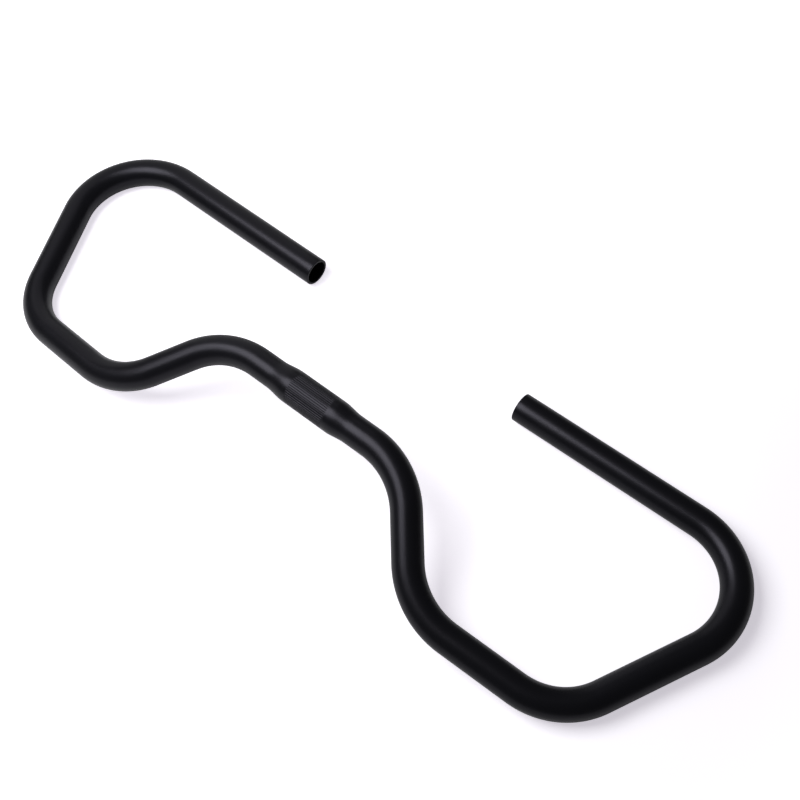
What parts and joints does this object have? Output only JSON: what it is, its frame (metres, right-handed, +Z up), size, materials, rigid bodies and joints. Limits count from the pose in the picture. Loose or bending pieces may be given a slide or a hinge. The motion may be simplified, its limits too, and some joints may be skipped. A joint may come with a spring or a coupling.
{
  "type": "butterfly handlebar",
  "caption": "Butterfly touring handlebar bent from one matt black aluminium tube, with a knurled clamp zone and open ends.",
  "frame": {"origin": "middle of the clamp zone, on its axis", "axes": "+X along the clamp zone to the rider's left, -Y forwards, +Z up, with the wings level"},
  "size_m": [0.6318, 0.1981, 0.0701],
  "materials": {
    "black_anodised": "matt black anodised"
  },
  "bodies": {
    "root": {"handlebar": "black_anodised"}
  },
  "joints": []
}
